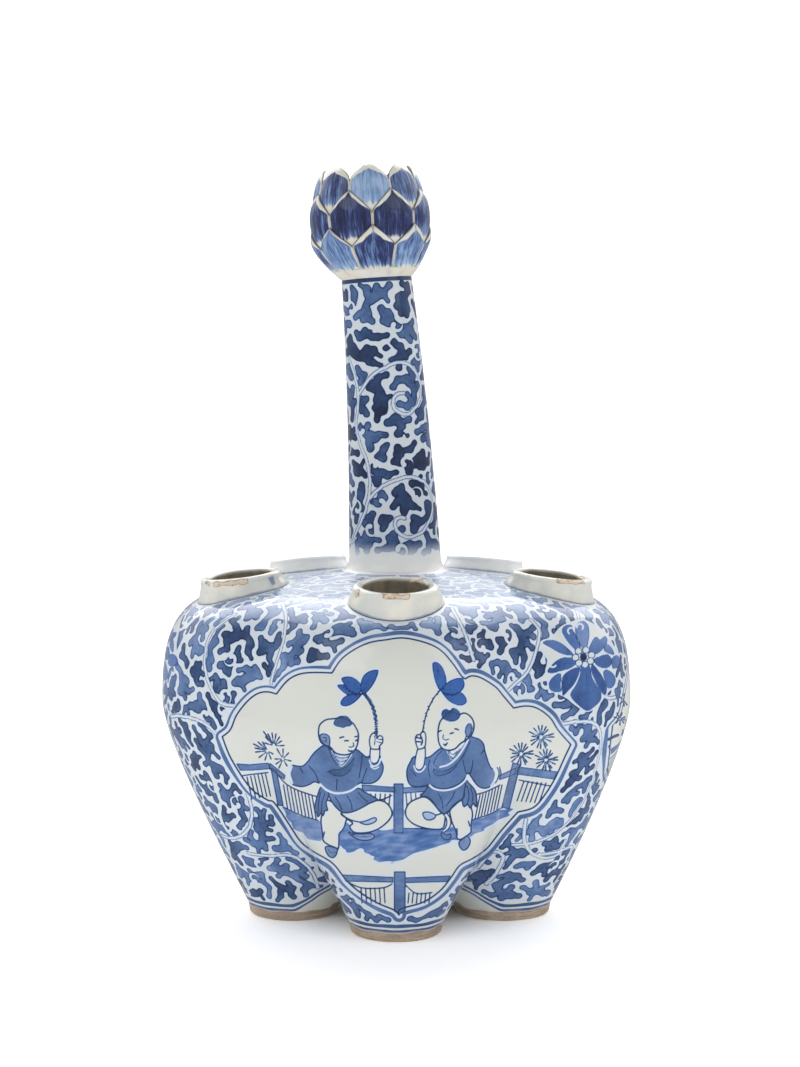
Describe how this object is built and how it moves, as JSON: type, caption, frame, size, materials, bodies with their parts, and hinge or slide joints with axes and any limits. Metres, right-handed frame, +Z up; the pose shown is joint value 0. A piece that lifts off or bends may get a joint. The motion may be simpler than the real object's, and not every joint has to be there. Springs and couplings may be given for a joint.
{
  "type": "tulip vase",
  "caption": "Lobed blue-and-white porcelain flower vase on hollow legs, with short stem collars round a tall leaning neck that ends in a lotus-bud mouth.",
  "frame": {"origin": "centre of the vase's box on the level surface that its feet stand on", "axes": "+Z up along the height, -Y towards the lobe with the figure panel, neck leaning towards -X"},
  "size_m": [0.148, 0.1452, 0.24],
  "materials": {
    "painted_porcelain": "glossy glaze over cobalt painting on a greyish white body",
    "painted_neck": "glossy glaze over cobalt scrolling foliage",
    "painted_petals": "glossy glaze over streaked cobalt washes",
    "bud_glaze": "glossy greenish white glaze",
    "collar_glaze": "glossy greenish white glaze, frits on the rims",
    "biscuit": "unglazed, stained tan clay"
  },
  "bodies": {
    "root": {"lower_body": "painted_porcelain", "upper_body": "painted_porcelain", "neck": "painted_neck", "bud_cup": "bud_glaze", "lower_petals": "painted_petals", "middle_petals": "painted_petals", "upper_petals": "painted_petals", "collar_front": "collar_glaze", "collar_right": "collar_glaze", "collar_back_right": "collar_glaze", "collar_back_left": "collar_glaze", "collar_left": "collar_glaze", "foot_front": "biscuit", "foot_right": "biscuit", "foot_back_right": "biscuit", "foot_back_left": "biscuit", "foot_left": "biscuit"}
  },
  "joints": []
}
